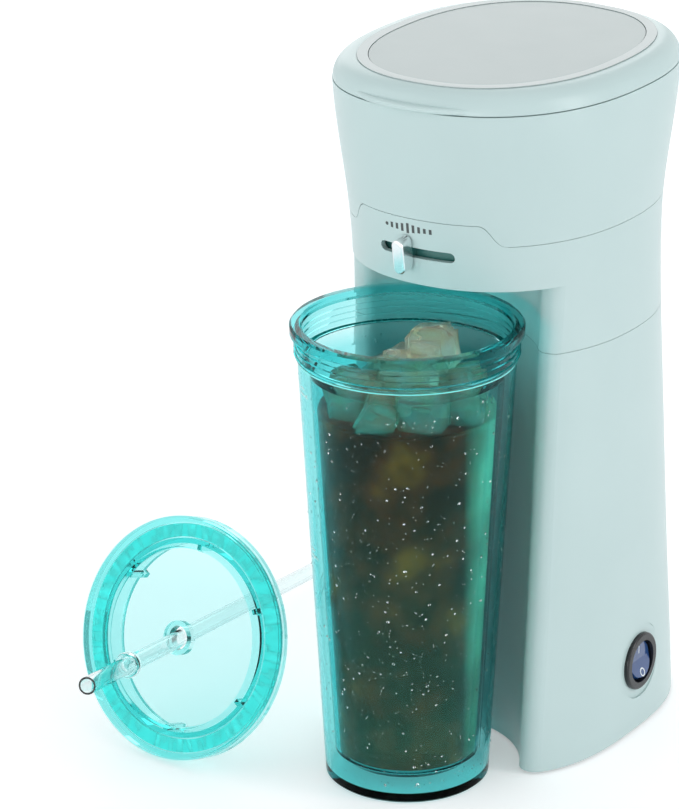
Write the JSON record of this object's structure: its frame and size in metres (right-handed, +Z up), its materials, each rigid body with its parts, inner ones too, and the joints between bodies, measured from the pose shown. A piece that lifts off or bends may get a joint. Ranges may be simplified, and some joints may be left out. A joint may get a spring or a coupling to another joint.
{
  "type": "iced coffee maker",
  "caption": "Drip iced-coffee maker with a hinged lid, strength lever and rocker switch, its tumbler in the bay and the tumbler's lid and straw leaning beside it.",
  "frame": {"origin": "middle of the housing's base on the table", "axes": "+Z up; -Y out of the front, where the tumbler stands; +X towards the rocker switch"},
  "size_m": [0.1915, 0.2666, 0.2687],
  "materials": {
    "mint_plastic": "satin moulded shell",
    "pale_panel": "gloss inlay in the lid",
    "white_ring": "satin white",
    "white_plastic": "moulded, food side",
    "dark_plastic": "fine texture",
    "black_plastic": "satin",
    "blue_translucent": "translucent, lit from inside",
    "chrome": "polished plating",
    "steel": "plain",
    "aluminium": "extruded",
    "rubber": "matte",
    "silicone": "soft, translucent",
    "teal_clear": "clear tinted plastic"
  },
  "bodies": {
    "root": {"lower_shell": "mint_plastic", "middle_shell": "mint_plastic", "upper_shell": "mint_plastic", "base_plate": "dark_plastic", "rubber_feet": "rubber", "base_screws": "steel", "cord_gland": "rubber", "switch_bezel": "black_plastic", "switch_terminals": "steel", "slider_track": "dark_plastic", "brew_funnel": "white_plastic", "outlet_nozzle": "dark_plastic", "filter_basket": "dark_plastic", "filter_mesh": "steel", "top_deck": "white_plastic", "water_tub": "white_plastic", "check_valve": "white_plastic", "inlet_hose": "silicone", "riser_hose": "silicone", "riser_port": "white_plastic", "heater_tube": "aluminium", "heater_carrier": "steel", "heater_clamp": "steel", "thermostat": "black_plastic", "thermal_fuse": "steel", "hinge_pin": "steel"},
    "lid": {"lid_shell": "mint_plastic", "lid_ring": "white_ring", "lid_panel": "pale_panel", "lid_seal": "silicone", "shower_head": "white_plastic"},
    "slider": {"strength_slider": "dark_plastic", "strength_lever": "chrome"},
    "rocker_button": {"rocker": "blue_translucent"},
    "tumbler": {"tumbler_outer": "teal_clear", "tumbler_liner": "teal_clear", "weld_ring": "white_ring"},
    "loose_lid": {"tumbler_lid": "teal_clear", "cap_gasket": "silicone"},
    "loose_straw": {"straw": "teal_clear", "straw_collar": "teal_clear"}
  },
  "joints": [
    {"name": "lid_hinge", "type": "hinge", "parent": "root", "child": "lid", "pos_m": [0, 0.069, 0.2565], "axis": [-1, 0, 0], "range_deg": [0, 80]},
    {"name": "strength_turn", "type": "hinge", "parent": "root", "child": "slider", "pos_m": [0, -0.01233, 0.2046], "axis": [0, 0, 1], "range_deg": [-10.5, 17]},
    {"name": "rocker_tilt", "type": "hinge", "parent": "root", "child": "rocker_button", "pos_m": [0.05307, 0.0075, 0.028], "axis": [0, 1, 0], "range_deg": [0, 20]},
    {"name": "tumbler_slide", "type": "slide", "parent": "root", "child": "tumbler", "axis": [0, -1, 0], "range_m": [-0.008, 0.15]},
    {"name": "loose_lid_lift", "type": "slide", "parent": "root", "child": "loose_lid", "axis": [0, 0, 1], "range_m": [0, 0.15]},
    {"name": "straw_pull", "type": "slide", "parent": "loose_lid", "child": "loose_straw", "axis": [0.2631, -0.9359, 0.2342], "range_m": [0, 0.15]}
  ]
}
